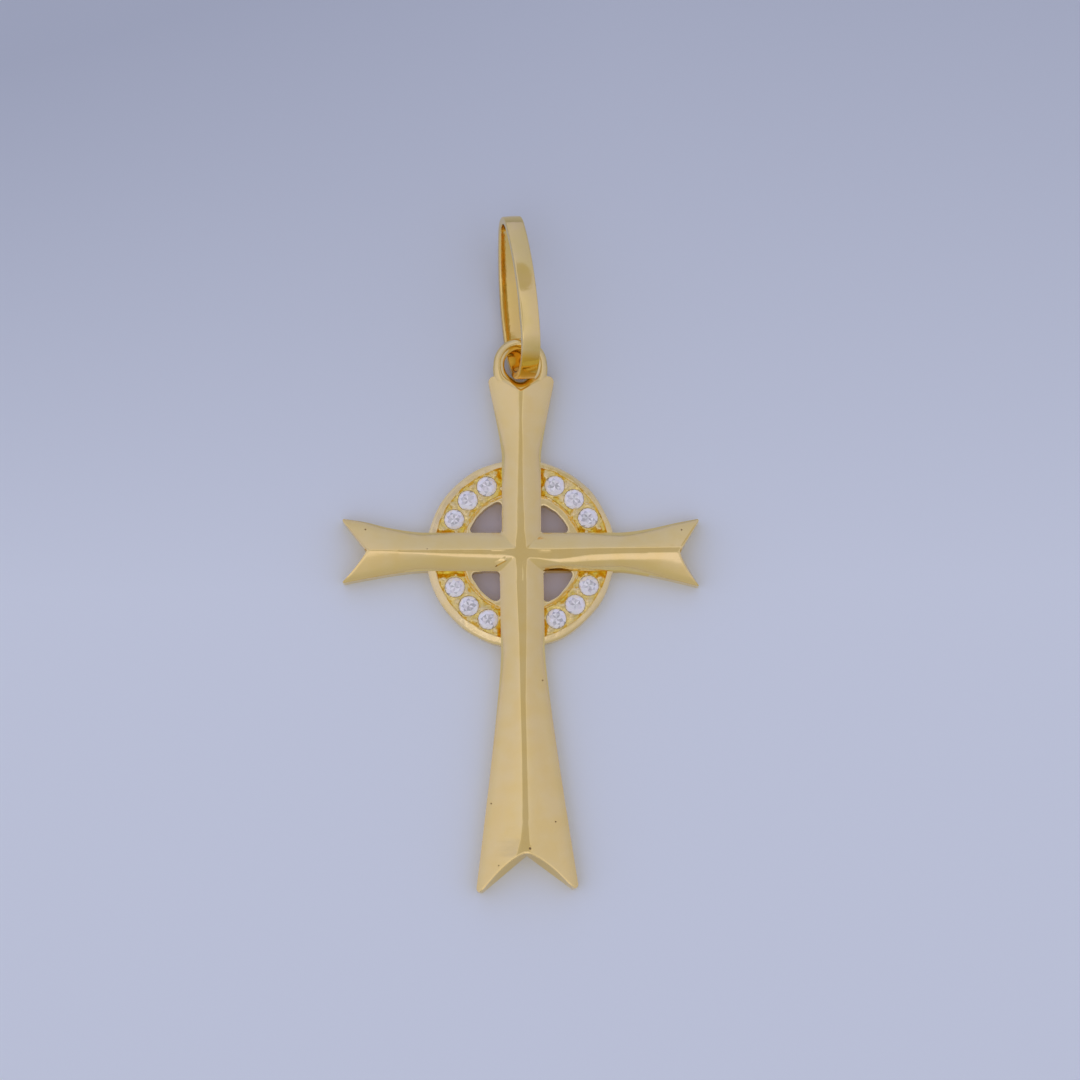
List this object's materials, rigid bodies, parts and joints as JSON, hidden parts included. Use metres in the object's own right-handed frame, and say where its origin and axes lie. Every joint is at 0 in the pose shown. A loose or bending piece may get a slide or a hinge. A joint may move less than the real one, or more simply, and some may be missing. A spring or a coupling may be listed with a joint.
{
  "type": "stone-set cross pendant",
  "caption": "Ridged metal cross pendant with notched arm ends, a stone-set ring round the hub and an oval bail hung in a wire loop.",
  "frame": {"origin": "middle of the hub on the cross's flat back face", "axes": "+Y along the upper arm towards the bail, +Z out of the ridged front, +X along the right-hand arm seen from the front"},
  "size_m": [0.0214, 0.0403, 0.006],
  "materials": {
    "gold": "polished yellow gold",
    "stone": "cut and polished clear stone"
  },
  "bodies": {
    "cross": {"cross": "gold", "stone_01": "stone", "stone_02": "stone", "stone_03": "stone", "stone_04": "stone", "stone_05": "stone", "stone_06": "stone", "stone_07": "stone", "stone_08": "stone", "stone_09": "stone", "stone_10": "stone", "stone_11": "stone", "stone_12": "stone"},
    "bail": {"bail": "gold"}
  },
  "joints": [
    {"name": "bail_swing", "type": "hinge", "parent": "cross", "child": "bail", "pos_m": [0.0002, 0.01309, 0.00301], "axis": [0.9762, 0.0854, -0.1994], "range_deg": [-60, 125]}
  ]
}
